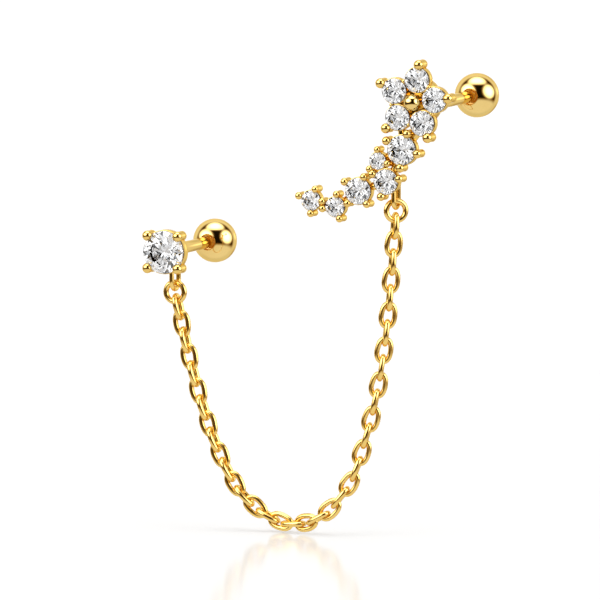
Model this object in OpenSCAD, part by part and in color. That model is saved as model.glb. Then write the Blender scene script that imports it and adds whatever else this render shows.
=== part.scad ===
// Ear chain earring: two screw-ball studs joined by a fine cable chain.
// Millimetres. The front looks along -Y and both posts run along +Y, with +Z up.
// The origin is on the cluster's post, at the back face of its setting, where the ear bears.

/* [Posts and screw balls] */
// Bare length of each post, from the back of its setting to its screw ball
post_reach = 6; // [4:0.5:12]
// Diameter of each post (20 gauge)
post_d = 0.8; // [0.6:0.05:1.2]
// Diameter of each screw ball
ball_d = 3; // [2.6:0.1:5]

/* [Flower] */
// Diameter of each petal stone
petal_stone_d = 1.7; // [1.3:0.1:2.4]
// Gap between neighbouring petal stones
petal_gap = 0.1; // [0.06:0.02:0.3]
// Turn of the first petal above +X, in degrees
flower_turn = 7.4; // [0:0.2:20]
// Flower's middle, right of the post
flower_x = -1.2; // [-1.6:0.1:-0.4]
// Flower's middle, above the post
flower_z = 0.12; // [-0.5:0.02:0.5]
// Diameter of the bead on each petal's prong
petal_bead_d = 0.68; // [0.5:0.02:0.9]
// Diameter of the grain between two petals
grain_d = 0.28; // [0.2:0.02:0.4]

/* [Trail stones] */
// Diameter of the first and largest trail stone
trail_1_d = 2; // [1.4:0.1:2.6]
// Diameter of the second trail stone
trail_2_d = 1.15; // [0.9:0.05:1.6]
// Diameter of the third trail stone, over the chain
trail_3_d = 1.7; // [1.4:0.1:2.2]
// Diameter of the fourth trail stone
trail_4_d = 1.8; // [1.2:0.1:2.4]
// Diameter of the fifth trail stone
trail_5_d = 1.35; // [1:0.05:1.8]
// Diameter of the last trail stone
trail_6_d = 1.35; // [1:0.05:1.8]
// How far each small prong stands outside its stone's edge
prong_stand = 0.19; // [0.14:0.01:0.24]

/* [Lobe stud] */
// Diameter of the lobe stone
lobe_stone_d = 2.9; // [2:0.1:5]
// Diameter of the bead on each lobe prong
lobe_bead_d = 0.7; // [0.5:0.05:0.9]
// Lobe post, right of the cluster's post
lobe_x = -19.1; // [-21:0.1:-17]
// Lobe post, above the cluster's post
lobe_z = -10.5; // [-12:0.1:-8]

/* [Settings] */
// Metal under the point of each stone
floor_t = 0.35; // [0.2:0.05:0.6]
// Back plate of the flower, which carries the post
plate_t = 0.35; // [0.2:0.05:0.8]
// Height of each cup's straight side behind the stone's girdle
cup_side = 0.62; // [0.4:0.02:0.7]
// How far each cup's rim stands outside its stone
cup_rim = 0.05; // [0.04:0.01:0.12]
// Thickness of the bars between the cups
bar_d = 0.56; // [0.4:0.02:0.7]
// Gap between a stone and its seat
stone_clear = 0.03; // [0.02:0.01:0.06]

/* [Chain] */
// Length of each link, outside
link_length = 1.9; // [1.7:0.05:2.6]
// Width of each link, outside
link_width = 1.26; // [1.16:0.02:1.6]
// Thickness of the link wire
link_wire_d = 0.29; // [0.2:0.01:0.32]
// Clear gap between two links that hang in each other
link_gap = 0.1; // [0.1:0.01:0.16]
// Turn of the chain about itself, from the middle to the cluster, in degrees
chain_twist = 36; // [0:2:45]
// Outer diameter of each jump ring
jump_ring_d = 1.7; // [1.6:0.05:2.4]
// Thickness of the jump ring wire
jump_wire_d = 0.38; // [0.3:0.02:0.44]
// Thickness of the wire of the fixed loops under the settings
loop_wire_d = 0.3; // [0.24:0.02:0.36]

/* [Hidden] */
$fn = 48;
GOLD = "goldenrod";
CRYSTAL = "aliceblue";

// A brilliant-cut stone's heights and its table, as shares of its diameter
CROWN = 0.16;
GIRDLE = 0.03;
PAVILION = 0.43;
TABLE = 0.56;
// How far down its pavilion the lower girdle facets reach
LOWER_HALF = 0.77;

// Seat of a stone: where its cup's rim starts, behind the girdle
rim_drop = 0.06;
// Taper of a cup's back
cup_taper = 0.25;
// Light hole behind a trail stone, as shares of the stone: at its point and at the back
HOLE_TIP = 0.12;
HOLE_BACK = 0.2;
// A prong: its bead stands in front of the girdle and its rod reaches back behind the bead
bead_lift = 0.12;
prong_back = 0.62;
ROD = 0.92;
ROD_END = 0.97;

// Screw thread in the ball's bore, as a row of turned grooves
thread_step = 0.04;
thread_depth = 0.06;
thread_pitch = 0.2;
thread_reach = 1.6;
thread_clear = 0.04;
bore_spare = 0.12;
countersink_gap = 0.15;
countersink_depth = 0.35;
post_root = 0.3;
// How far pieces soldered together run into each other
BITE = 0.1;

function pavilion_tip(d) = (PAVILION + GIRDLE / 2) * d;
function cup_depth(d) = pavilion_tip(d) + floor_t;
function polar(r, angle) = r * [cos(angle), sin(angle)];
function facing_xz(p, y) = [p[0], y, p[1]];

// Flower: five petals on a circle that keeps their gap, round a middle bead
PETALS = 5;
petal_step = 360 / PETALS;
flower_r = (petal_stone_d + petal_gap) / 2 / sin(petal_step / 2);
flower_at = [flower_x, flower_z];
middle_bead_gap = 0.12;
middle_bead_d = 2 * (flower_r - petal_stone_d / 2 - middle_bead_gap);
middle_bead_lift = 0.15;
// The back plate reaches just past the petals' centres, and past the post
web_front = 0.5;
web_lip = 0.07;
post_lip = 0.03;
web_r = max(flower_r + web_lip, norm(flower_at) + post_d / 2 + post_lip);
cluster_depth = cup_depth(petal_stone_d) + plate_t;

// Trail, each stone measured from the one before it, and the first from the flower's lower left petal
trail_petal_index = 3;
D = 0;
BEARING = 1;
GAP = 2;
BEAD = 3;
PRONGS = 4;
// Stone diameter, bearing from the stone before it, gap to it, bead diameter, bearings of the prongs
TRAIL = [
    [trail_1_d, 278, 0.33, 0.6, [68, 149, 268, 350]],
    [trail_2_d, 204, 0.3, 0.47, [87, 226, 348]],
    [trail_3_d, 293, 0.08, 0.56, [13, 151, 254]],
    [trail_4_d, 199, 0.36, 0.53, [63, 146, 230, 310]],
    [trail_5_d, 214, 0.4, 0.5, [79, 189, 296]],
    [trail_6_d, 168, 0.43, 0.5, [64, 160, 273, 358]]
];
// The stone that the cluster's chain hangs under
hanging_stone_index = 2;

function petal_at(i) = flower_at + polar(flower_r, flower_turn + i * petal_step);
function trail_before(i) = i == 0 ? petal_at(trail_petal_index) : trail_at(i - 1);
function trail_before_d(i) = i == 0 ? petal_stone_d : TRAIL[i - 1][D];
function trail_at(i) =
    trail_before(i)
    + polar((trail_before_d(i) + TRAIL[i][D]) / 2 + TRAIL[i][GAP], TRAIL[i][BEARING]);

// Lobe basket: four prongs, a rail round the stone and spokes to a hub at the post
lobe_prongs = 4;
lobe_prong_turn = 45;
lobe_prong_stand = 0.1;
lobe_hub_t = 0.45;
lobe_hub_r = 0.6;
lobe_rail_t = 0.3;
lobe_rail_front = 0.1;
lobe_rail_back = 0.8;
lobe_spoke_d = 0.56;
lobe_depth = pavilion_tip(lobe_stone_d) + lobe_hub_t;
lobe_prong_r = lobe_stone_d / 2 + lobe_prong_stand;
lobe_at = [lobe_x, lobe_z];

// Fixed loops, in the plane across each setting, and the jump rings that hang in them
chain_y = -0.75;
ring_gap = 0.11;
cluster_ring_turn = chain_twist;
cluster_loop_r = (jump_wire_d / cos(cluster_ring_turn) + loop_wire_d) / 2 + ring_gap / 2;
lobe_loop_least = 0.6;
lobe_loop_r = max(lobe_loop_least, (jump_wire_d + loop_wire_d) / 2 + ring_gap);
cluster_loop_side = 0.48;
cluster_loop_drop = 0.47;
lobe_loop_side = 0.46;
lobe_loop_drop = 0.5;
loop_stone_r = TRAIL[hanging_stone_index][D] / 2;
cluster_loop_at =
    trail_at(hanging_stone_index) + [cluster_loop_side, -loop_stone_r - cluster_loop_drop];
lobe_loop_at = lobe_at + [lobe_loop_side, -lobe_stone_d / 2 - lobe_loop_drop];
// How high a loop's strand rises to reach round metal that stands over it, and bite into it
solder_bite = 0.15;
function rise(drop, stone_r, metal_r, side) =
    drop + stone_r - sqrt(pow(metal_r, 2) - pow(side, 2)) + solder_bite;
jump_r = (jump_ring_d - jump_wire_d) / 2;
jump_drop = jump_r - (jump_wire_d + loop_wire_d) / 2 - ring_gap;
cluster_ring_at = facing_xz(cluster_loop_at - [0, cluster_loop_r + jump_drop], chain_y);
lobe_ring_at = facing_xz(lobe_loop_at - [0, lobe_loop_r + jump_drop], chain_y);

// One link's centreline: half its length, and half its width from straight side to straight side
link_half = (link_length - link_wire_d) / 2;
link_side = (link_width - link_wire_d) / 2;

// The chain hangs along a smooth curve through its ends and these few points, lobe to cluster:
// each is right of the cluster's post, behind the plane of the jump rings, and above the post
CHAIN_ROUTE = [
    [-17.6, 0, -17.6],
    [-16.6, 0, -21],
    [-15.35, 0, -24.15],
    [-13.65, 0.1, -26.88],
    [-11.1, 0.35, -28.52],
    [-8.15, -0.2, -28.1],
    [-5.95, -0.1, -25.7],
    [-4.75, 0, -22.4],
    [-3.9, 0, -18.95],
    [-3.35, 0, -15.42],
    [-3, 0, -11.86]
];
hang_points = [for (p = CHAIN_ROUTE) p + [0, chain_y, 0]];
hang_pitch = link_length - 2 * link_wire_d - link_gap;
first_link = jump_r - jump_wire_d / 2 - ring_gap - link_wire_d / 2 + link_half;

function unit(v) = v / norm(v);
lobe_end = lobe_ring_at + first_link * unit(hang_points[0] - lobe_ring_at);
cluster_end =
    cluster_ring_at + first_link * unit(hang_points[len(hang_points) - 1] - cluster_ring_at);
route = concat([lobe_end], hang_points, [cluster_end]);
legs = len(route) - 1;
longest_leg = max([for (i = [0:legs - 1]) norm(route[i + 1] - route[i])]);
// An even number of steps puts an edge-on link next to both jump rings
link_steps = 2 * ceil(legs * longest_leg / hang_pitch / 2);

// Smooth curve through the route's points; t runs from 0 to the number of legs
function route_point(i) =
    i < 0 ? 2 * route[0] - route[1]
    : i > legs ? 2 * route[legs] - route[legs - 1]
    : route[i];
function along(t) =
    let (i = min(floor(t), legs - 1), f = t - i,
         a = route_point(i - 1), b = route_point(i), c = route_point(i + 1), e = route_point(i + 2))
    b + f / 2 * ((c - a) + f * ((2 * a - 5 * b + 4 * c - e) + f * (3 * (b - c) + e - a)));
function heading(t) = along(t + 0.05) - along(t - 0.05);
function link_roll(k) = (k % 2 == 0 ? 90 : 0) + chain_twist * max(0, 2 * k / link_steps - 1);

// Turns a piece drawn in front view, x right, y up and z to the viewer, into place
module facing(girdle_depth) {
    translate([0, -girdle_depth, 0]) rotate([90, 0, 0]) children();
}

// Round brilliant with its axis along z and its girdle at z = 0
module brilliant(d) {
    r = d / 2;
    table_r = TABLE * r;
    girdle_z = GIRDLE * r;
    crown_z = girdle_z + CROWN * d;
    culet_z = -girdle_z - PAVILION * d;
    half = 22.5;
    star_r = (table_r * cos(half) + r) / 2;
    star_z = crown_z - (crown_z - girdle_z) * (star_r * cos(half) - table_r) / (r - table_r);
    lower_r = (1 - LOWER_HALF) * r;
    lower_z = culet_z + (-girdle_z - culet_z) * lower_r * cos(half) / r;
    function ring(radius, z, count, turn = 0) =
        [for (i = [0:count - 1]) concat(polar(radius, turn + i * 360 / count), [z])];
    points = concat(
        ring(table_r, crown_z, 8),
        ring(star_r, star_z, 8, half),
        ring(r, girdle_z, 16),
        ring(r, -girdle_z, 16),
        ring(lower_r, lower_z, 8, half),
        [[0, 0, culet_z]]
    );
    table = 0;
    star = 8;
    upper = 16;
    lower = 32;
    foot = 48;
    culet = 56;
    faces = concat(
        [[for (i = [7:-1:0]) table + i]],
        [for (i = [0:7]) each let (n = (i + 1) % 8, p = (i + 7) % 8, g = 2 * i, m = (2 * i + 2) % 16) [
            [table + i, table + n, star + i],
            [table + i, star + i, upper + g, star + p],
            [star + i, upper + g + 1, upper + g],
            [star + i, upper + m, upper + g + 1],
            [foot + i, lower + g, lower + g + 1],
            [foot + i, lower + g + 1, lower + m],
            [culet, foot + p, lower + g, foot + i]
        ]],
        [for (g = [0:15]) let (n = (g + 1) % 16) [upper + g, upper + n, lower + n, lower + g]]
    );
    polyhedron(points, faces);
}

// The room that a stone and its clearance take out of the metal
module seat(d) {
    r = d / 2;
    band = GIRDLE * r + stone_clear;
    top = GIRDLE * r + CROWN * d + stone_clear;
    rotate_extrude() polygon([
        [0, -pavilion_tip(d) - stone_clear],
        [r + stone_clear, -band],
        [r + stone_clear, band],
        [TABLE * r + stone_clear, top],
        [0, top]
    ]);
}

// A cup that carries one stone, with a tapered back
module cup(d) {
    r = d / 2 + cup_rim;
    front = GIRDLE * d / 2 + rim_drop;
    rotate_extrude() polygon([
        [0, -cup_depth(d)],
        [r - cup_taper, -cup_depth(d)],
        [r, -cup_side],
        [r, -front],
        [0, -front]
    ]);
}

// Tapered hole that lets light in behind a stone
module light_hole(d) {
    translate([0, 0, -cup_depth(d) - BITE])
        cylinder(h = floor_t + 2 * BITE, r1 = HOLE_BACK * d, r2 = HOLE_TIP * d);
}

// A prong's rod with its bead in front and a rounded end behind
module prong(at, bead_d, back = prong_back) {
    translate(concat(at, [0])) {
        translate([0, 0, bead_lift]) sphere(d = bead_d);
        translate([0, 0, -back]) cylinder(h = back + bead_lift, d = ROD * bead_d);
        translate([0, 0, -back]) sphere(d = ROD_END * bead_d);
    }
}

// A straight bar between two places in the front view
module bar(from, to, behind) {
    run = to - from;
    translate(concat(from, [-behind]))
        rotate([0, 90, atan2(run[1], run[0])])
            cylinder(h = norm(run), d = bar_d);
}

// A fixed loop in the plane across the setting, its two strands rising into the metal
module hanging_loop(at, loop_r, rise_front, rise_back) {
    translate(facing_xz(at, chain_y)) {
        rotate([90, 0, 90]) rotate([0, 0, 180])
            rotate_extrude(angle = 180) translate([loop_r, 0]) circle(d = loop_wire_d);
        translate([0, -loop_r, 0]) cylinder(h = rise_front, d = loop_wire_d);
        translate([0, loop_r, 0]) cylinder(h = rise_back, d = loop_wire_d);
    }
}

// Post with its threaded end, from the setting's back to inside the ball
module post() {
    post_r = post_d / 2;
    crest_r = post_r - thread_step;
    groove_r = crest_r - thread_depth;
    turns = floor(thread_reach / thread_pitch);
    function groove(i) = post_reach + (i + 0.5) * thread_pitch;
    rotate([-90, 0, 0]) rotate_extrude() polygon(concat(
        [[0, -post_root], [post_r, -post_root], [post_r, post_reach], [groove_r, groove(0)]],
        [for (i = [1:turns - 1]) each [[crest_r, groove(i) - thread_pitch / 2], [groove_r, groove(i)]]],
        [[0, groove(turns - 1)]]
    ));
}

// Five petals, the middle bead, the grains between petals and the plate behind them
module flower_metal() {
    for (i = [0:PETALS - 1]) {
        outward = flower_turn + i * petal_step;
        translate(concat(petal_at(i), [0])) cup(petal_stone_d);
        prong(petal_at(i) + polar(petal_stone_d / 2 + prong_stand, outward), petal_bead_d);
        translate(concat(flower_at + polar(flower_r, outward + petal_step / 2), [0])) {
            sphere(d = grain_d);
            translate([0, 0, -web_front - BITE]) cylinder(h = web_front + BITE, d = ROD * grain_d);
        }
    }
    translate(concat(flower_at, [0])) {
        translate([0, 0, -cluster_depth]) cylinder(h = cluster_depth - web_front, r = web_r);
        translate([0, 0, -web_front - BITE])
            cylinder(h = web_front + BITE + middle_bead_lift, d = ROD * middle_bead_d);
        translate([0, 0, middle_bead_lift]) sphere(d = middle_bead_d);
    }
}

// The six cups of the trail with their prongs and the bars that join them
module trail_metal() {
    for (i = [0:len(TRAIL) - 1]) {
        d = TRAIL[i][D];
        translate(concat(trail_at(i), [0])) cup(d);
        for (angle = TRAIL[i][PRONGS])
            prong(trail_at(i) + polar(d / 2 + prong_stand, angle), TRAIL[i][BEAD]);
        bar(trail_before(i), trail_at(i), cup_side);
    }
    bar(petal_at(PETALS - 1), trail_at(0), cup_side);
    bar(trail_at(0), trail_at(hanging_stone_index), cup_side);
}

module cluster_setting() {
    front_rise = rise(
        cluster_loop_drop, loop_stone_r, loop_stone_r + cup_rim, cluster_loop_side);
    color(GOLD) {
        difference() {
            union() {
                facing(cluster_depth) {
                    flower_metal();
                    trail_metal();
                }
                hanging_loop(cluster_loop_at, cluster_loop_r, front_rise, front_rise + cup_taper);
            }
            facing(cluster_depth) {
                for (i = [0:PETALS - 1])
                    translate(concat(petal_at(i), [0])) seat(petal_stone_d);
                for (i = [0:len(TRAIL) - 1])
                    translate(concat(trail_at(i), [0])) {
                        seat(TRAIL[i][D]);
                        light_hole(TRAIL[i][D]);
                    }
            }
        }
        post();
    }
}

// Rail, four bent prongs and the hub of the lobe stud
module lobe_basket() {
    rail_r = lobe_stone_d / 2 + cup_rim;
    hub_middle = lobe_depth - lobe_hub_t / 2;
    spoke_run = lobe_prong_r - lobe_hub_r + lobe_spoke_d / 2;
    spoke_drop = hub_middle - prong_back;
    rotate_extrude() polygon([
        [rail_r - lobe_rail_t, -lobe_rail_back],
        [rail_r, -lobe_rail_back],
        [rail_r, -lobe_rail_front],
        [rail_r - lobe_rail_t, -lobe_rail_front]
    ]);
    translate([0, 0, -lobe_depth]) cylinder(h = lobe_hub_t + 2 * BITE, r = lobe_hub_r);
    for (i = [0:lobe_prongs - 1]) {
        turn = lobe_prong_turn + i * 360 / lobe_prongs;
        prong(polar(lobe_prong_r, turn), lobe_bead_d);
        rotate([0, 0, turn]) translate([lobe_prong_r, 0, -prong_back])
            rotate([0, -90 - atan2(spoke_drop, spoke_run), 0])
                cylinder(h = norm([spoke_drop, spoke_run]), d = lobe_spoke_d);
    }
}

module lobe_setting() {
    stone_r = lobe_stone_d / 2;
    color(GOLD) {
        difference() {
            union() {
                translate(facing_xz(lobe_at, 0)) facing(lobe_depth) lobe_basket();
                hanging_loop(
                    lobe_loop_at,
                    lobe_loop_r,
                    rise(lobe_loop_drop, stone_r, stone_r + cup_rim, lobe_loop_side),
                    rise(lobe_loop_drop, stone_r, lobe_hub_r, lobe_loop_side)
                );
            }
            translate(facing_xz(lobe_at, 0)) facing(lobe_depth) seat(lobe_stone_d);
        }
        translate(facing_xz(lobe_at, 0)) post();
    }
}

module petal_stone(i) {
    color(CRYSTAL) facing(cluster_depth)
        translate(concat(petal_at(i), [0])) rotate([0, 0, flower_turn + i * petal_step])
            brilliant(petal_stone_d);
}

module trail_stone(i) {
    color(CRYSTAL) facing(cluster_depth)
        translate(concat(trail_at(i), [0])) rotate([0, 0, TRAIL[i][BEARING]])
            brilliant(TRAIL[i][D]);
}

module lobe_stone() {
    color(CRYSTAL) translate(facing_xz(lobe_at, 0)) facing(lobe_depth) brilliant(lobe_stone_d);
}

// Screw ball, with a countersink and a blind bore that takes the thread
module screw_ball(at) {
    sink_r = post_d / 2 + countersink_gap;
    middle = post_reach + sqrt(pow(ball_d / 2, 2) - pow(sink_r, 2));
    bore_r = post_d / 2 - thread_step + thread_clear;
    color(GOLD) translate(facing_xz(at, 0)) difference() {
        translate([0, middle, 0]) sphere(d = ball_d);
        rotate([-90, 0, 0]) {
            translate([0, 0, post_reach - sink_r])
                cylinder(h = sink_r + countersink_depth, r = sink_r);
            translate([0, 0, post_reach]) cylinder(h = thread_reach + bore_spare, r = bore_r);
        }
    }
}

module jump_ring(at, turn) {
    color(GOLD) translate(at) rotate([0, 0, turn]) rotate([90, 0, 0])
        rotate_extrude() translate([jump_r, 0]) circle(d = jump_wire_d);
}

// One link with round ends and straight sides, long along x and wide along z
module link() {
    straight = link_half - link_side;
    rotate([90, 0, 0]) for (s = [0, 1]) rotate([0, 0, 180 * s]) {
        translate([straight, 0, 0]) rotate([0, 0, -90])
            rotate_extrude(angle = 180) translate([link_side, 0]) circle(d = link_wire_d);
        translate([-straight, link_side, 0]) rotate([0, 90, 0])
            cylinder(h = 2 * straight, d = link_wire_d);
    }
}

module chain() {
    color(GOLD) for (k = [0:link_steps]) {
        t = k * legs / link_steps;
        run = heading(t);
        translate(along(t))
            rotate([link_roll(k), -asin(run[2] / norm(run)), atan2(run[1], run[0])])
                link();
    }
}

cluster_setting();
for (i = [0:PETALS - 1]) petal_stone(i);
for (i = [0:len(TRAIL) - 1]) trail_stone(i);
screw_ball([0, 0]);  // cluster_ball
jump_ring(cluster_ring_at, cluster_ring_turn);  // cluster_jump_ring
chain();
jump_ring(lobe_ring_at, 0);  // lobe_jump_ring
lobe_setting();
lobe_stone();
screw_ball(lobe_at);  // lobe_ball
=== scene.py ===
import math

import bmesh
import bpy
from mathutils import Matrix, Vector


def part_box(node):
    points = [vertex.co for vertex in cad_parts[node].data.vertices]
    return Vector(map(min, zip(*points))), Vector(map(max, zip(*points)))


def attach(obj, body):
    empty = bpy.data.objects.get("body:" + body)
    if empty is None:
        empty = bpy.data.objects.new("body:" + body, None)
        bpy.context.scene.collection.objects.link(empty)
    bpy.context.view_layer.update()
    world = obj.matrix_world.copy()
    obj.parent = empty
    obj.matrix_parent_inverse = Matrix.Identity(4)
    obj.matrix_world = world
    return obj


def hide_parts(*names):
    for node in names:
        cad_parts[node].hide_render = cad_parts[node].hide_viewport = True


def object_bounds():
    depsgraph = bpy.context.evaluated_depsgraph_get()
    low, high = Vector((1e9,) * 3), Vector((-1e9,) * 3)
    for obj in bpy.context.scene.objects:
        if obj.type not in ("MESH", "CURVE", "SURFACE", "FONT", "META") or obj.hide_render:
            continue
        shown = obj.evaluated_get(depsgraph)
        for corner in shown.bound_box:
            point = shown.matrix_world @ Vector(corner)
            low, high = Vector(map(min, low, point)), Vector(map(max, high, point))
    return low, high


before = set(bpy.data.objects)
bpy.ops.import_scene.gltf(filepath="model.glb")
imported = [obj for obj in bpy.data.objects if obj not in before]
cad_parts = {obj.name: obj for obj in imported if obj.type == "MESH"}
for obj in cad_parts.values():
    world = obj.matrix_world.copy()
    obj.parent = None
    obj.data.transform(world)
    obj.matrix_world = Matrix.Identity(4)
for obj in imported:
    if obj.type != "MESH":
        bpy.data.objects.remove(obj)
cad_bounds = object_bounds()

# The flower's cups. Each petal stone sits in a turned brass cup, plated with yellow gold,
# straight at the sides and narrower at the back, with a thin rim. The cups are soldered to
# one another and to a plate.
petal_stones = [f"petal_stone_{i}" for i in range(1, 6)]
petal_stone_d = 0.0017
table_share = 0.56
crown_share = 0.16
girdle_share = 0.03
pavilion_share = 0.43
stone_clear = 0.00003
tip_share = 0.06
cup_rim = 0.00005
cup_side = 0.00062
cup_taper = 0.00025
cup_floor = 0.00035
cup_edge = 0.000015
rim_drop = 0.00006
plate_thickness = 0.00035
# How squarely a face has to look along Y to be picked as an end
facing = 0.9


def pavilion_tip(d):
    """How far behind its girdle a stone of this diameter reaches."""
    return (pavilion_share + girdle_share / 2) * d


petal_y = -pavilion_tip(petal_stone_d) - cup_floor - plate_thickness


def deselect():
    if bpy.context.object and bpy.context.object.mode != "OBJECT":
        bpy.ops.object.mode_set(mode="OBJECT")
    bpy.ops.object.select_all(action="DESELECT")


def edit(piece):
    deselect()
    piece.select_set(True)
    bpy.context.view_layer.objects.active = piece
    bpy.ops.object.mode_set(mode="EDIT")


def pick_faces(wanted):
    bpy.ops.mesh.select_mode(type="FACE")
    bpy.ops.mesh.select_all(action="DESELECT")
    mesh = bmesh.from_edit_mesh(bpy.context.object.data)
    for face in mesh.faces:
        face.select_set(wanted(face.calc_center_median(), face.normal))
    bmesh.update_edit_mesh(bpy.context.object.data)


def settle(piece):
    """The piece's place goes into its mesh, so its object sits at the origin."""
    deselect()
    piece.select_set(True)
    bpy.context.view_layer.objects.active = piece
    bpy.ops.object.transform_apply(location=True, rotation=True, scale=True)
    return piece


def rod(x, z, front, back, radius, sides=40):
    """A round rod that runs along Y."""
    deselect()
    bpy.ops.mesh.primitive_cylinder_add(
        vertices=sides, radius=radius, depth=back - front,
        location=(x, (front + back) / 2, z), rotation=(math.pi / 2, 0, 0))
    return settle(bpy.context.object)


def soften(piece, width, segments=2):
    """Rounds the piece's sharp edges."""
    deselect()
    piece.select_set(True)
    bpy.context.view_layer.objects.active = piece
    bevel = piece.modifiers.new("soft_edges", "BEVEL")
    bevel.width = width
    bevel.segments = segments
    bevel.limit_method = "ANGLE"
    bevel.angle_limit = math.radians(30)
    bpy.ops.object.modifier_apply(modifier=bevel.name)
    return piece


class Tone:
    """A shader socket, so that maths on it reads as an expression."""

    def __init__(self, tree, socket=None):
        self.tree = tree
        self.socket = socket

    def node(self, kind, settings=None, sockets=None, output=0):
        made = self.tree.nodes.new("ShaderNode" + kind)
        for name, value in (settings or {}).items():
            setattr(made, name, value)
        for name, value in (sockets or {}).items():
            if isinstance(value, Tone):
                self.tree.links.new(value.socket, made.inputs[name])
            else:
                made.inputs[name].default_value = value
        return Tone(self.tree, made.outputs[output])

    def maths(self, operation, first, second):
        return self.node("Math", {"operation": operation}, {0: first, 1: second})

    def __add__(self, other):
        return self.maths("ADD", self, other)

    def __radd__(self, other):
        return self.maths("ADD", other, self)

    def __rsub__(self, other):
        return self.maths("SUBTRACT", other, self)

    def __mul__(self, other):
        return self.maths("MULTIPLY", self, other)

    def __rmul__(self, other):
        return self.maths("MULTIPLY", other, self)

    def __truediv__(self, other):
        return self.maths("DIVIDE", self, other)

    def smooth(self, low, high):
        """Rises smoothly from 0 at low to 1 at high."""
        return self.node(
            "MapRange", {"interpolation_type": "SMOOTHSTEP"},
            {"Value": self, "From Min": low, "From Max": high})

    def dot(self, direction):
        return self.node(
            "VectorMath", {"operation": "DOT_PRODUCT"}, {0: self, 1: direction}, output="Value")

    def blend(self, first, second):
        """The colour first where this mask is 0, and second where it is 1."""
        return self.node(
            "Mix", {"data_type": "RGBA"}, {"Factor": self, "A": first, "B": second}, output="Result")


def new_material(name):
    material = bpy.data.materials.new(name)
    material.use_nodes = True
    surface = material.node_tree.nodes["Principled BSDF"]
    return material, surface, Tone(material.node_tree)


def yellow_gold(name, colour, dullness, depth):
    """Gold plate; its depth is the strength of a painted amber glow: an emission that stands in for
    the light that neighbouring gold would bounce into its shadows.
    """
    material, surface, tone = new_material(name)
    place = tone.node("TexCoord", output="Object")
    clouds = tone.node("TexNoise", None, {"Vector": place, "Scale": 700.0, "Detail": 3.0})
    buffing = tone.node("TexNoise", None, {"Vector": place, "Scale": 9000.0, "Detail": 2.0})
    worn = (0.96 * colour[0], 0.93 * colour[1], 0.88 * colour[2], 1)
    colour = clouds.smooth(0.35, 0.7).blend((*colour, 1), worn)
    roughness = dullness + 0.04 * clouds + 0.03 * buffing
    bump = tone.node("Bump", None, {"Strength": 0.06, "Distance": 0.000004, "Height": buffing})
    material.node_tree.links.new(colour.socket, surface.inputs["Base Color"])
    material.node_tree.links.new(roughness.socket, surface.inputs["Roughness"])
    material.node_tree.links.new(bump.socket, surface.inputs["Normal"])
    surface.inputs["Metallic"].default_value = 1.0
    # Painted amber glow: this emission warms the gold's shadows in place of light bounced from
    # neighbouring gold.
    surface.inputs["Emission Color"].default_value = (1, 0.4, 0.03, 1)
    surface.inputs["Emission Strength"].default_value = depth
    surface.inputs["Specular Tint"].default_value = (0.92, 0.8, 0.52, 1)
    return material


def bright_seat():
    """The seat under a stone, cut bright and left unplated, so that it throws white light back."""
    material, surface, tone = new_material("bright_seat")
    place = tone.node("TexCoord", output="Object")
    cuts = tone.node("TexNoise", None, {"Vector": place, "Scale": 4000.0, "Detail": 2.0})
    roughness = 0.25 + 0.2 * cuts
    material.node_tree.links.new(roughness.socket, surface.inputs["Roughness"])
    surface.inputs["Base Color"].default_value = (0.93, 0.93, 0.95, 1)
    surface.inputs["Metallic"].default_value = 1.0
    return material


# The last number is the strength of the setting gold's painted amber glow.
setting_gold = yellow_gold("setting_gold", (0.79, 0.555, 0.175), 0.05, 0.022)
seat_metal = bright_seat()


def stone_centre(node):
    low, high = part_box(node)
    return (low[0] + high[0]) / 2, (low[2] + high[2]) / 2


def stretch(piece_y, step, share, x, z):
    """Pulls the picked end face on along Y by step, and resizes it by share about its middle."""
    bpy.ops.mesh.extrude_region_move(TRANSFORM_OT_translate={"value": (0, step, 0)})
    bpy.ops.transform.resize(value=(share, 1, share), center_override=(x, piece_y + step, z))
    return piece_y + step


def seat_cutter(x, z, d, girdle_y):
    """The cutter that makes the seat: the stone's own outline, a little larger."""
    band = girdle_share * d / 2 + stone_clear
    radius = d / 2 + stone_clear
    cutter = rod(x, z, girdle_y - band, girdle_y + band, radius, sides=64)
    edit(cutter)
    pick_faces(lambda place, normal: normal.y < -facing)
    stretch(girdle_y - band, -crown_share * d, table_share, x, z)
    pick_faces(lambda place, normal: normal.y > facing)
    stretch(girdle_y + band, pavilion_share * d, tip_share, x, z)
    deselect()
    cutter.data.materials.append(seat_metal)
    seats.append((x, z, d, cutter))


def make_room(piece, x, z, reach):
    """Cuts the piece back from each stone whose edge is within reach, and leaves the cut bright."""
    piece.data.materials.append(setting_gold)
    deselect()
    piece.select_set(True)
    bpy.context.view_layer.objects.active = piece
    for stone_x, stone_z, d, cutter in seats:
        if math.hypot(stone_x - x, stone_z - z) < d / 2 + reach:
            carve = piece.modifiers.new("seat", "BOOLEAN")
            carve.operation = "DIFFERENCE"
            carve.material_mode = "TRANSFER"
            carve.object = cutter
            bpy.ops.object.modifier_apply(modifier=carve.name)
    return piece


def copied(piece, x=0.0, z=0.0):
    """A copy with its own mesh, moved by x and z."""
    deselect()
    piece.select_set(True)
    bpy.context.view_layer.objects.active = piece
    bpy.ops.object.duplicate()
    copy = bpy.context.object
    copy.location = (x, 0, z)
    return settle(copy)


def stand(first, places, reach):
    """Copies the first one's parts to each place, where each makes room for the stones."""
    made = []
    for x, z in places:
        made += [make_room(copied(part, x, z), x, z, reach) for part in first]
    for part in first:
        bpy.data.objects.remove(part)
    return made


def turned_cup(d):
    radius = d / 2 + cup_rim
    rim_y = petal_y + girdle_share * d / 2 + rim_drop
    side_y = petal_y + cup_side
    back_y = petal_y + pavilion_tip(d) + cup_floor
    cup = rod(0, 0, rim_y, side_y, radius, sides=64)
    edit(cup)
    pick_faces(lambda place, normal: normal.y > facing)
    stretch(side_y, back_y - side_y, (radius - cup_taper) / radius, 0, 0)
    deselect()
    return soften(cup, cup_edge)


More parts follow.
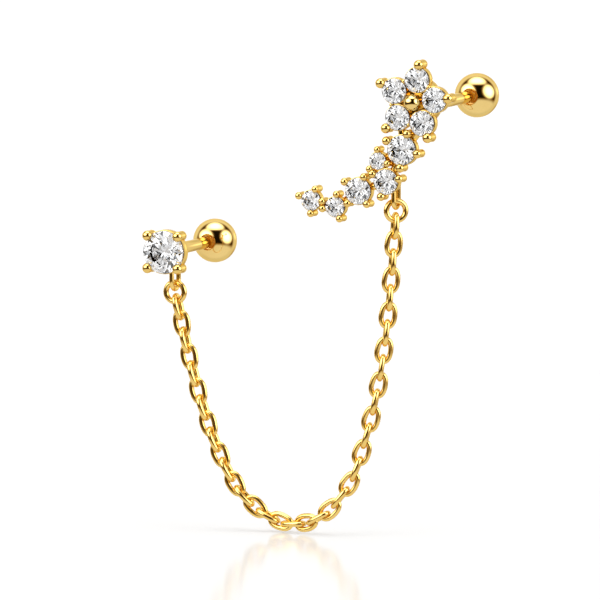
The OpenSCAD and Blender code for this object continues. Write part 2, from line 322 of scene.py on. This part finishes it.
petal_places = [stone_centre(node) for node in petal_stones]
seats = []
for x, z in petal_places:
    seat_cutter(x, z, petal_stone_d, petal_y)
cluster_metal = stand([turned_cup(petal_stone_d)], petal_places, 0)

# The prongs. A gold wire stands beside each stone, with a bead pushed up at its front end that
# holds the stone's edge, and a rounded end at the back. The trail's prongs are thinner, and
# each petal has one, at the tip of the flower's star.
bead_lift = 0.00012
prong_back = 0.00062
prong_stand = 0.00019
rod_share = 0.92
rear_share = 0.97
petal_bead_d = 0.00068


def bead(x, y, z, d, rings=20):
    deselect()
    bpy.ops.mesh.primitive_uv_sphere_add(
        segments=2 * rings, ring_count=rings, radius=d / 2, location=(x, y, z),
        rotation=(math.pi / 2, 0, 0))
    return settle(bpy.context.object)


def prong(girdle_y, bead_d):
    front = girdle_y - bead_lift
    back = girdle_y + prong_back
    return [
        bead(0, front, 0, bead_d),
        rod(0, 0, front, back, rod_share * bead_d / 2),
        bead(0, back, 0, rear_share * bead_d),
    ]


def places_round(x, z, reach, bearings):
    """Places at that reach from a middle, at these bearings in degrees from the right."""
    angles = [math.radians(bearing) for bearing in bearings]
    return [(x + reach * math.cos(angle), z + reach * math.sin(angle)) for angle in angles]


flower_x, flower_z = -0.0012, 0.00012
petal_bearings = [math.degrees(math.atan2(z - flower_z, x - flower_x)) for x, z in petal_places]
petal_tips = []
for (x, z), bearing in zip(petal_places, petal_bearings):
    petal_tips += places_round(x, z, petal_stone_d / 2 + prong_stand, [bearing])
cluster_metal += stand(prong(petal_y, petal_bead_d), petal_tips, petal_bead_d / 2)

# The flower's middle. A large gold bead on a short stem stands between the petals, with five
# small grains in the gaps between neighbouring petals. A round plate behind them all is
# soldered to the cups and carries the post.
middle_bead_gap = 0.00012
middle_bead_lift = 0.00015
plate_front = 0.0005
plate_r = 0.001636
plate_edge = 0.00004
stem_bite = 0.0001
grain_d = 0.00028

gold = yellow_gold("polished_gold", (0.83, 0.6, 0.22), 0.05, 0.0)
petal_x, petal_z = petal_places[0]
flower_r = math.hypot(petal_x - flower_x, petal_z - flower_z)
middle_bead_d = 2 * (flower_r - petal_stone_d / 2 - middle_bead_gap)
middle_bead_y = petal_y - middle_bead_lift
plate_y = petal_y + plate_front
stem_end = plate_y + stem_bite
middle = [
    bead(flower_x, middle_bead_y, flower_z, middle_bead_d, rings=32),
    rod(flower_x, flower_z, middle_bead_y, stem_end, rod_share * middle_bead_d / 2),
]
for part in middle:
    part.data.materials.append(gold)
cluster_metal += middle

half_petal = 180 / len(petal_stones)
gap_bearings = [bearing - half_petal for bearing in petal_bearings]
gaps = places_round(flower_x, flower_z, flower_r, gap_bearings)
grain = [
    bead(0, petal_y, 0, grain_d, rings=12),
    rod(0, 0, petal_y, stem_end, rod_share * grain_d / 2, sides=24),
]
cluster_metal += stand(grain, gaps, grain_d)

plate = soften(rod(0, 0, plate_y, 0, plate_r, sides=96), plate_edge, segments=3)
cluster_metal += stand([plate], [(flower_x, flower_z)], plate_r)

# The trail's cups. Six cups sweep down and away from the flower, joined by short bars behind
# their stones, each with its own three or four thin prongs. A tapered hole in the back of
# each lets light in behind the stone.
# Each row: the stone, its diameter, its beads' diameter and the bearings of its prongs
trail = [
    ("trail_stone_1", 0.002, 0.0006, (68, 149, 268, 350)),
    ("trail_stone_2", 0.00115, 0.00047, (87, 226, 348)),
    ("trail_stone_3", 0.0017, 0.00056, (13, 151, 254)),
    ("trail_stone_4", 0.0018, 0.00053, (63, 146, 230, 310)),
    ("trail_stone_5", 0.00135, 0.0005, (79, 189, 296)),
    ("trail_stone_6", 0.00135, 0.0005, (64, 160, 273, 358)),
]
bar_d = 0.00056
hole_tip = 0.12
hole_back = 0.2
hole_bite = 0.0001


def hole_cutter(x, z, d):
    front = petal_y + pavilion_tip(d) - hole_bite
    back = front + cup_floor + 2 * hole_bite
    cutter = rod(x, z, front, back, hole_tip * d, sides=32)
    edit(cutter)
    pick_faces(lambda place, normal: normal.y > facing)
    widen = hole_back / hole_tip
    bpy.ops.transform.resize(value=(widen, 1, widen), center_override=(x, back, z))
    deselect()
    cutter.data.materials.append(setting_gold)
    seats.append((x, z, 2 * hole_back * d, cutter))


def bar(start, end, y):
    """A straight bar between two places in the front view."""
    run = Vector((end[0] - start[0], 0, end[1] - start[1]))
    deselect()
    bpy.ops.mesh.primitive_cylinder_add(
        vertices=32, radius=bar_d / 2, depth=run.length,
        location=((start[0] + end[0]) / 2, y, (start[1] + end[1]) / 2),
        rotation=run.to_track_quat("Z", "Y").to_euler())
    middle = (Vector(start) + Vector(end)) / 2
    return make_room(settle(bpy.context.object), middle.x, middle.y, run.length / 2)


for node, d, bead_d, bearings in trail:
    seat_cutter(*stone_centre(node), d, petal_y)
    hole_cutter(*stone_centre(node), d)
for node, d, bead_d, bearings in trail:
    x, z = stone_centre(node)
    cluster_metal += stand([turned_cup(d)], [(x, z)], 0)
    prong_places = places_round(x, z, d / 2 + prong_stand, bearings)
    cluster_metal += stand(prong(petal_y, bead_d), prong_places, bead_d / 2)
joined = [
    ("petal_stone_4", "trail_stone_1"),
    ("petal_stone_5", "trail_stone_1"),
    ("trail_stone_1", "trail_stone_3"),
]
joined += [(f"trail_stone_{i}", f"trail_stone_{i + 1}") for i in range(1, 6)]
for first, second in joined:
    cluster_metal.append(bar(stone_centre(first), stone_centre(second), petal_y + cup_side))

# The posts. Each is a straight gold wire soldered into the back of its setting, with a fine
# screw thread cut into its end that the ball winds onto.
post_r = 0.0004
post_root = 0.0003
post_reach = 0.006
thread_core_r = 0.00031
thread_crest = 0.00005
thread_run_in = 0.00008
thread_end = 0.0075
thread_pitch = 0.0002
post_edge = 0.00002
touching = 1e-7


def coat(piece, material, wanted):
    """Gives the wanted faces their own material, and the rest the gold."""
    piece.data.materials.append(gold)
    piece.data.materials.append(material)
    edit(piece)
    pick_faces(wanted)
    piece.active_material_index = len(piece.data.materials) - 1
    bpy.ops.object.material_slot_assign()
    deselect()


def turned_gold():
    """Gold left with the fine rings of the lathe, on the threads and in their bores, with a painted
    amber glow: an emission that stands in for the light that the walls of a bore would bounce to one
    another."""
    material, surface, tone = new_material("turned_gold")
    place = tone.node("TexCoord", output="Object")
    rings = tone.node(
        "TexWave", {"wave_type": "BANDS", "bands_direction": "Y"},
        {"Vector": place, "Scale": 900.0, "Distortion": 0.4})
    colour = rings.blend((0.9, 0.6, 0.19, 1), (0.94, 0.67, 0.25, 1))
    roughness = 0.38 + 0.1 * rings
    material.node_tree.links.new(colour.socket, surface.inputs["Base Color"])
    material.node_tree.links.new(roughness.socket, surface.inputs["Roughness"])
    surface.inputs["Metallic"].default_value = 1.0
    # Painted amber glow: this emission lights the bore's shadows warm.
    surface.inputs["Emission Color"].default_value = (1, 0.4, 0.03, 1)
    surface.inputs["Emission Strength"].default_value = 0.08
    return material


bore_metal = turned_gold()


def post():
    """The shank with its threaded end, and the thread's own ridge."""
    shank = rod(0, 0, -post_root, post_reach, post_r, sides=64)
    edit(shank)
    pick_faces(lambda place, normal: normal.y > facing)
    stretch(post_reach, thread_run_in, thread_core_r / post_r, 0, 0)
    thread_start = post_reach + thread_run_in
    stretch(thread_start, thread_end - thread_start, 1, 0, 0)
    deselect()
    soften(shank, post_edge)
    coat(shank, bore_metal, lambda place, normal: place.y > thread_start - post_edge)
    bpy.ops.mesh.primitive_circle_add(vertices=12, radius=thread_crest)
    ridge = bpy.context.object
    edit(ridge)
    bpy.ops.mesh.select_all(action="SELECT")
    bpy.ops.transform.translate(value=(thread_core_r, 0, 0))
    deselect()
    turns = int((thread_end - post_reach) / thread_pitch) - 1
    screw = ridge.modifiers.new("thread", "SCREW")
    screw.axis = "Y"
    screw.screw_offset = thread_pitch
    screw.iterations = turns
    screw.steps = 32
    screw.render_steps = 32
    ridge.select_set(True)
    bpy.context.view_layer.objects.active = ridge
    bpy.ops.object.modifier_apply(modifier=screw.name)
    edit(ridge)
    bpy.ops.mesh.select_all(action="SELECT")
    bpy.ops.mesh.remove_doubles(threshold=touching)
    bpy.ops.mesh.normals_make_consistent(inside=False)
    deselect()
    low = min(corner.co.y for corner in ridge.data.vertices)
    ridge.location.y += thread_start - low
    ridge.data.materials.append(bore_metal)
    return [shank, settle(ridge)]


first_post = post()
cluster_metal += [copied(part) for part in first_post]

# The fixed loop under the third trail stone. A half ring of thin gold wire whose two ends run
# up into the cup, in the plane across the earring, so that a jump ring can hang in it.
chain_y = -0.00075
loop_wire_r = 0.000165
cluster_loop_r = 0.0004398
cluster_loop_side = 0.00048
cluster_loop_drop = 0.00047
cluster_loop_rise = 0.00075

# The last number is the strength of the wire gold's painted amber glow in its shadows.
wire_gold = yellow_gold("wire_gold", (0.81, 0.575, 0.18), 0.13, 0.055)


def pick_corners(wanted):
    bpy.ops.mesh.select_mode(type="VERT")
    bpy.ops.mesh.select_all(action="DESELECT")
    mesh = bmesh.from_edit_mesh(bpy.context.object.data)
    for corner in mesh.verts:
        corner.select_set(wanted(corner.co))
    mesh.select_flush(True)
    bmesh.update_edit_mesh(bpy.context.object.data)


def fixed_loop(x, z, loop_r, rise_front, rise_back):
    """A half ring under two straight ends, which rise this far at the front and at the back."""
    deselect()
    bpy.ops.mesh.primitive_torus_add(
        major_segments=64, minor_segments=20, major_radius=loop_r, minor_radius=loop_wire_r,
        location=(x, chain_y, z), rotation=(0, math.pi / 2, 0))
    loop = settle(bpy.context.object)
    edit(loop)
    bpy.ops.mesh.select_all(action="SELECT")
    bpy.ops.mesh.bisect(plane_co=(x, chain_y, z), plane_no=(0, 0, 1), clear_outer=True)
    for side, rise in ((-1, rise_front), (1, rise_back)):
        pick_corners(lambda place: place.z > z - touching and side * (place.y - chain_y) > 0)
        bpy.ops.mesh.select_mode(type="EDGE")
        bpy.ops.mesh.extrude_region_move(TRANSFORM_OT_translate={"value": (0, 0, rise)})
    deselect()
    loop.data.materials.append(wire_gold)
    return loop


hanging_stone, hanging_d = trail[2][:2]
hanging_x, hanging_z = stone_centre(hanging_stone)
cluster_loop_x = hanging_x + cluster_loop_side
cluster_loop_z = hanging_z - hanging_d / 2 - cluster_loop_drop
cluster_metal.append(fixed_loop(
    cluster_loop_x, cluster_loop_z, cluster_loop_r, cluster_loop_rise,
    cluster_loop_rise + cup_taper))


def one_piece(parts, name, body, *nodes):
    """Joins the parts into one gold piece, which stands for its nodes and rides on its body."""
    deselect()
    for part in parts:
        part.select_set(True)
    bpy.context.view_layer.objects.active = parts[0]
    if len(parts) > 1:
        bpy.ops.object.join()
    piece = bpy.context.object
    piece.name = name
    piece.data.name = name
    bpy.ops.object.shade_smooth_by_angle(angle=math.radians(40))
    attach(piece, body)
    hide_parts(*nodes)
    return piece


def drop_cutters():
    for x, z, d, cutter in seats:
        bpy.data.objects.remove(cutter)
    seats.clear()


one_piece(cluster_metal, "cluster_setting_gold", "earring", "cluster_setting")
drop_cutters()

# The lobe stud. Four bent prongs rise from a small hub at the post and pass a thin rail that
# the stone rests in; the beads at their tips grip the stone. All of it is soldered gold wire.
lobe_x, lobe_z = -0.0191, -0.0105
lobe_stone_d = 0.0029
lobe_hub_thickness = 0.00045
lobe_y = -pavilion_tip(lobe_stone_d) - lobe_hub_thickness
lobe_bead_d = 0.0007
lobe_prong_stand = 0.0001
lobe_prong_r = lobe_stone_d / 2 + lobe_prong_stand
rail_front, rail_back = 0.0001, 0.0008
rail_r = lobe_stone_d / 2 + cup_rim
rail_wall = 0.0003
rail_edge = 0.00003
hub_r, hub_front = 0.0006, -0.00065
hub_edge = 0.00004
spoke_d = 0.00056
lobe_loop_side = 0.00046
lobe_loop_drop = 0.0005
lobe_loop_r = 0.0006
lobe_loop_rise_front, lobe_loop_rise_back = 0.00067, 0.0017


def lobe_rail():
    rail = rod(0, 0, lobe_y + rail_front, lobe_y + rail_back, rail_r, sides=96)
    edit(rail)
    pick_faces(lambda place, normal: abs(normal.y) > facing)
    bpy.ops.mesh.inset(thickness=rail_wall)
    bpy.ops.mesh.bridge_edge_loops()
    deselect()
    return soften(rail, rail_edge)


def spoke():
    """A straight wire from the back of a prong on the right to the hub."""
    hub_end = Vector((hub_r - spoke_d / 2, -lobe_hub_thickness / 2, 0))
    prong_end = Vector((lobe_prong_r, lobe_y + prong_back, 0))
    run = hub_end - prong_end
    deselect()
    bpy.ops.mesh.primitive_cylinder_add(
        vertices=32, radius=spoke_d / 2, depth=run.length, location=(hub_end + prong_end) / 2,
        rotation=run.to_track_quat("Z", "Y").to_euler())
    return settle(bpy.context.object)


seat_cutter(lobe_x, lobe_z, lobe_stone_d, lobe_y)
hub = soften(rod(0, 0, hub_front, 0, hub_r, sides=64), hub_edge)
first_spoke = spoke()
basket = [lobe_rail(), hub]
corner_bearings = [45, 135, 225, 315]
for bearing in corner_bearings:
    wire = copied(first_spoke)
    wire.rotation_euler.y = -math.radians(bearing)
    basket.append(settle(wire))
bpy.data.objects.remove(first_spoke)
lobe_metal = stand(basket, [(lobe_x, lobe_z)], 0)
lobe_corners = places_round(lobe_x, lobe_z, lobe_prong_r, corner_bearings)
lobe_metal += stand(prong(lobe_y, lobe_bead_d), lobe_corners, lobe_bead_d / 2)
for part in first_post:
    part.location = (lobe_x, 0, lobe_z)
    lobe_metal.append(settle(part))
lobe_loop_x = lobe_x + lobe_loop_side
lobe_loop_z = lobe_z - lobe_stone_d / 2 - lobe_loop_drop
lobe_metal.append(fixed_loop(
    lobe_loop_x, lobe_loop_z, lobe_loop_r, lobe_loop_rise_front, lobe_loop_rise_back))
one_piece(lobe_metal, "lobe_setting_gold", "earring", "lobe_setting")
drop_cutters()

# The stones. Clear round brilliants, cut with a flat table, pointed crown facets and a deep
# pavilion, each dropped into its setting and held by the beads. Their many facets throw back
# the light of the room in clear and dark patches.
stones = petal_stones + [row[0] for row in trail] + ["lobe_stone"]


def brilliant_crystal():
    material, surface, tone = new_material("brilliant_crystal")
    place = tone.node("TexCoord", output="Object")
    mist = tone.node("TexNoise", None, {"Vector": place, "Scale": 1500.0, "Detail": 2.0})
    colour = mist.smooth(0.3, 0.7).blend((1, 1, 1, 1), (0.965, 0.98, 1, 1))
    roughness = 0.004 + 0.008 * mist
    material.node_tree.links.new(colour.socket, surface.inputs["Base Color"])
    material.node_tree.links.new(roughness.socket, surface.inputs["Roughness"])
    surface.inputs["Transmission Weight"].default_value = 1.0
    surface.inputs["IOR"].default_value = 2.17
    return material


crystal = brilliant_crystal()
for node in stones:
    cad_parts[node].data.materials.clear()
    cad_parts[node].data.materials.append(crystal)

# The screw balls. Each is a hollow-fronted gold ball, with a wide countersink round a blind
# threaded bore, that winds onto the end of its post behind the ear.
ball_r = 0.0015
ball_rings = 48
mouth_ring = 6
mouth_edge = 0.00004
# Just inside a round edge, as a share of its radius
within = 0.999
sink_r = 0.00055
sink_depth = 0.00035
sink_slope = 0.00001
bore_r = 0.0004
bore_end = 0.00773
ball_y = post_reach + math.sqrt(ball_r ** 2 - sink_r ** 2)


def screw_ball():
    """A ball whose front rings are drawn in to the countersink's edge, and on into the bore."""
    deselect()
    bpy.ops.mesh.primitive_uv_sphere_add(
        segments=2 * ball_rings, ring_count=ball_rings, radius=ball_r, location=(0, ball_y, 0),
        rotation=(math.pi / 2, 0, 0))
    ball = settle(bpy.context.object)
    edit(ball)
    mouth_angle = math.pi * mouth_ring / ball_rings
    mouth_r = ball_r * math.sin(mouth_angle)
    pick_faces(lambda place, normal:
               place.y < ball_y and math.hypot(place.x, place.z) < mouth_r * within)
    bpy.ops.mesh.delete(type="FACE")
    pick_corners(lambda place:
                 place.y < ball_y and math.hypot(place.x, place.z) < mouth_r / within)
    bpy.ops.mesh.select_mode(type="EDGE")
    narrow = sink_r / mouth_r
    slide = ball_r * math.cos(mouth_angle) - (ball_y - post_reach)
    bpy.ops.transform.resize(value=(narrow, 1, narrow), center_override=(0, post_reach, 0))
    bpy.ops.transform.translate(value=(0, slide, 0))
    sink_y = stretch(post_reach, sink_depth, 1, 0, 0)
    bore_y = stretch(sink_y, sink_slope, bore_r / sink_r, 0, 0)
    stretch(bore_y, bore_end - bore_y, 1, 0, 0)
    bpy.ops.mesh.edge_face_add()
    deselect()
    soften(ball, mouth_edge, segments=3)
    coat(ball, bore_metal, lambda place, normal:
         place.y < bore_end + bore_r and math.hypot(place.x, place.z) < sink_r * within)
    return ball


first_ball = screw_ball()
for name, x, z in (("cluster_ball", 0, 0), ("lobe_ball", lobe_x, lobe_z)):
    one_piece([copied(first_ball, x, z)], name + "_gold", name, name)
bpy.data.objects.remove(first_ball)

# The jump rings. Each is a closed round ring of heavier gold wire that hangs in a fixed loop
# and holds the last link of the chain.
jump_r = 0.00066
jump_wire_r = 0.00019
jump_drop = 0.00021
chain_twist = 36

cluster_ring_at = Vector((cluster_loop_x, chain_y, cluster_loop_z - cluster_loop_r - jump_drop))
lobe_ring_at = Vector((lobe_loop_x, chain_y, lobe_loop_z - lobe_loop_r - jump_drop))
deselect()
bpy.ops.mesh.primitive_torus_add(
    major_segments=96, minor_segments=24, major_radius=jump_r, minor_radius=jump_wire_r,
    rotation=(math.pi / 2, 0, 0))
first_ring = settle(bpy.context.object)
first_ring.data.materials.append(wire_gold)
for name, place, turn in (
        ("cluster_jump_ring", cluster_ring_at, chain_twist), ("lobe_jump_ring", lobe_ring_at, 0)):
    ring = copied(first_ring)
    ring.location = place
    ring.rotation_euler.z = math.radians(turn)
    one_piece([settle(ring)], name + "_gold", "earring", name)
bpy.data.objects.remove(first_ring)

# The cable chain. Oval links of round gold wire, each turned a quarter round from the last,
# hang in a U from one jump ring to the other. The side by the flower is twisted a little.
link_length = 0.0019
link_wire_r = 0.000145
link_steps = 36
oval_wire_r = 0.00018
oval_half = 0.000772
oval_side = 0.00045
end_handle = 0.00033
side_handle = 0.0004
ring_gap = 0.00011
run_step = 0.05
# Points that the chain hangs through: right of the post, behind the rings' plane, and above
chain_route = [
    (-0.0176, 0, -0.0176),
    (-0.0166, 0, -0.021),
    (-0.01535, 0, -0.02415),
    (-0.01365, 0.0001, -0.02688),
    (-0.0111, 0.00035, -0.02852),
    (-0.00815, -0.0002, -0.0281),
    (-0.00595, -0.0001, -0.0257),
    (-0.00475, 0, -0.0224),
    (-0.0039, 0, -0.01895),
    (-0.00335, 0, -0.01542),
    (-0.003, 0, -0.01186),
]
link_half = link_length / 2 - link_wire_r
end_reach = jump_r - jump_wire_r - ring_gap - link_wire_r + link_half
hang_points = [Vector(point) + Vector((0, chain_y, 0)) for point in chain_route]
lobe_end = lobe_ring_at + end_reach * (hang_points[0] - lobe_ring_at).normalized()
cluster_end = cluster_ring_at + end_reach * (hang_points[-1] - cluster_ring_at).normalized()
route = [lobe_end, *hang_points, cluster_end]
legs = len(route) - 1


def route_point(i):
    if i < 0:
        return 2 * route[0] - route[1]
    if i > legs:
        return 2 * route[legs] - route[legs - 1]
    return route[i]


def along(t):
    i = min(math.floor(t), legs - 1)
    f = t - i
    a, b, c, e = (route_point(i + step) for step in (-1, 0, 1, 2))
    return b + f / 2 * ((c - a) + f * ((2 * a - 5 * b + 4 * c - e) + f * (3 * (b - c) + e - a)))


deselect()
bpy.ops.curve.primitive_bezier_circle_add(radius=oval_side)
wire = bpy.context.object.data
wire.resolution_u = 14
wire.bevel_depth = oval_wire_r
wire.bevel_resolution = 6
for corner in wire.splines[0].bezier_points:
    at_end = abs(corner.co.x) > abs(corner.co.y)
    outward = corner.co.normalized()
    onward = (corner.handle_right - corner.co).normalized()
    corner.handle_left_type = "FREE"
    corner.handle_right_type = "FREE"
    corner.co = outward * (oval_half if at_end else oval_side)
    corner.handle_right = corner.co + onward * (end_handle if at_end else side_handle)
    corner.handle_left = corner.co - onward * (end_handle if at_end else side_handle)
bpy.ops.object.convert(target="MESH")
first_link = bpy.context.object
first_link.rotation_euler.x = math.pi / 2
settle(first_link)
first_link.data.materials.append(wire_gold)

links = []
for k in range(link_steps + 1):
    t = k * legs / link_steps
    run = along(t + run_step) - along(t - run_step)
    quarter = 90 if k % 2 == 0 else 0
    roll = math.radians(quarter + chain_twist * max(0, 2 * k / link_steps - 1))
    lean = -math.asin(run.z / run.length)
    turn = math.atan2(run.y, run.x)
    link = copied(first_link)
    link.matrix_world = (
        Matrix.Translation(along(t)) @ Matrix.Rotation(turn, 4, "Z") @ Matrix.Rotation(lean, 4, "Y")
        @ Matrix.Rotation(roll, 4, "X"))
    links.append(settle(link))
bpy.data.objects.remove(first_link)
one_piece(links, "chain_gold", "earring", "chain")

# The studio. The earring hangs just over a pale satin floor, in a white room that is dark
# round the camera, with three large soft lamps there and a small one far behind on the right.
# The stones have a lighting of their own, white with dark cards for them to sparkle against.
floor_gap = 0.00002
photo_azimuth = math.radians(22)
photo_elevation = math.radians(5.8)
photo_distance = 0.6
photo_target = Vector((-0.008292, -0.003891, -0.013113))

deselect()
floor_z = cad_bounds[0][2] - floor_gap
bpy.ops.mesh.primitive_circle_add(vertices=128, radius=3.0, fill_type="NGON", location=(0, 0, floor_z))
floor = settle(bpy.context.object)
floor.name = "pale_floor"


def pale_floor():
    material, surface, tone = new_material("pale_floor")
    place = tone.node("TexCoord", output="Object")
    grain = tone.node("TexNoise", None, {"Vector": place, "Scale": 40.0, "Detail": 2.0})
    roughness = 0.11 + 0.04 * grain
    material.node_tree.links.new(roughness.socket, surface.inputs["Roughness"])
    surface.inputs["Base Color"].default_value = (0.42, 0.42, 0.42, 1)
    surface.inputs["IOR"].default_value = 1.12
    surface.inputs["Emission Color"].default_value = (1, 1, 1, 1)
    surface.inputs["Emission Strength"].default_value = 0.185
    return material


floor.data.materials.append(pale_floor())
floor.visible_glossy = False

toward_camera = Vector((math.sin(photo_azimuth), -math.cos(photo_azimuth), 0))
to_the_right = Vector((math.cos(photo_azimuth), math.sin(photo_azimuth), 0))
upward = Vector((0, 0, 1))
ahead = toward_camera * math.cos(photo_elevation) + upward * math.sin(photo_elevation)
above = upward * math.cos(photo_elevation) - toward_camera * math.sin(photo_elevation)


# Each lamp: degrees across and up from straight ahead, half its width and height, and its
# power, which is below 0 for a dark card
soft_lamps = [
    (67, 16, 44, 38, 4.8),
    (-58, 27, 51, 32, 4.8),
    (0, 82.5, 46, 33, 4.8),
    (135, 9, 13, 10, 0.8),
    (157, 28, 17, 11, -0.25),
    (158, -17, 20, 12, -0.35),
]
# Each card for the stones: degrees across and up, and half its size
card_depth = 2.6
dark_cards = [
    (0, 0, 26), (36, 12, 15), (-42, -4, 17), (4, 44, 17), (-12, -42, 16), (38, 48, 13), (-38, 38, 14),
    (42, -34, 14), (-50, -44, 13), (78, 12, 15), (-80, 18, 16), (10, 80, 13),
]


def studio_room():
    world = bpy.data.worlds.new("studio_room")
    bpy.context.scene.world = world
    world.use_nodes = True
    tree = world.node_tree
    tree.nodes.clear()
    tone = Tone(tree)
    direction = tone.node("TexCoord", output="Generated")
    height = direction.dot(above)
    in_front = direction.dot(ahead).smooth(-0.53, -0.17)
    darkness = in_front * height.smooth(-0.52, -0.2)
    light = (1 + 0.16 * height * (1 - in_front)) * (1 - 0.99 * darkness)

    def lamp(across, up, half_width, half_height, power):
        """A soft oval lamp, placed by its angles from straight ahead, in degrees."""
        across, up = math.radians(across), math.radians(up)
        level = ahead * math.cos(across) + to_the_right * math.sin(across)
        aim = level * math.cos(up) + above * math.sin(up)
        wide = above.cross(aim).normalized()
        tall = aim.cross(wide)
        x = direction.dot(wide) / math.sin(math.radians(half_width))
        y = direction.dot(tall) / math.sin(math.radians(half_height))
        oval = (x * x + y * y).smooth(1.2, 0.0)
        return power * oval * oval * direction.dot(aim).smooth(0.0, 0.1)

    for row in soft_lamps:
        light = light + lamp(*row)
    glow = light.smooth(0.0, 0.9).blend((1, 0.58, 0.13, 1), (1, 1, 1, 1))
    room = tone.node("Background", None, {"Color": glow, "Strength": light})
    sparkle = 1.6 + 0.3 * height
    for across, up, half_size in dark_cards:
        sparkle = sparkle + lamp(across, up, half_size, half_size, -card_depth)
    sparkle = sparkle.maths("MAXIMUM", sparkle, 0.03)
    tint = sparkle.smooth(0.1, 1.2).blend((0.86, 0.92, 1, 1), (1, 1, 1, 1))
    jewels = tone.node("Background", None, {"Color": tint, "Strength": sparkle})
    backdrop = tone.node("Background", None, {"Color": (1, 1, 1, 1), "Strength": 1.0})
    through = tone.node("LightPath", output="Is Transmission Ray")
    seen = tone.node("LightPath", output="Is Camera Ray")
    lit = tone.node("MixShader", None, {0: through, 1: room, 2: jewels})
    shown = tone.node("MixShader", None, {0: seen, 1: lit, 2: backdrop})
    output = tree.nodes.new("ShaderNodeOutputWorld")
    tree.links.new(shown.socket, output.inputs["Surface"])


studio_room()

deselect()
bpy.ops.object.camera_add(
    location=photo_target + photo_distance * ahead, rotation=ahead.to_track_quat("Z", "Y").to_euler())
camera = bpy.context.object
camera.data.lens = 540
camera.data.sensor_width = 36
camera.data.clip_start = 0.01
camera.data.clip_end = 20
bpy.context.scene.camera = camera
bpy.context.scene.view_settings.view_transform = "Standard"
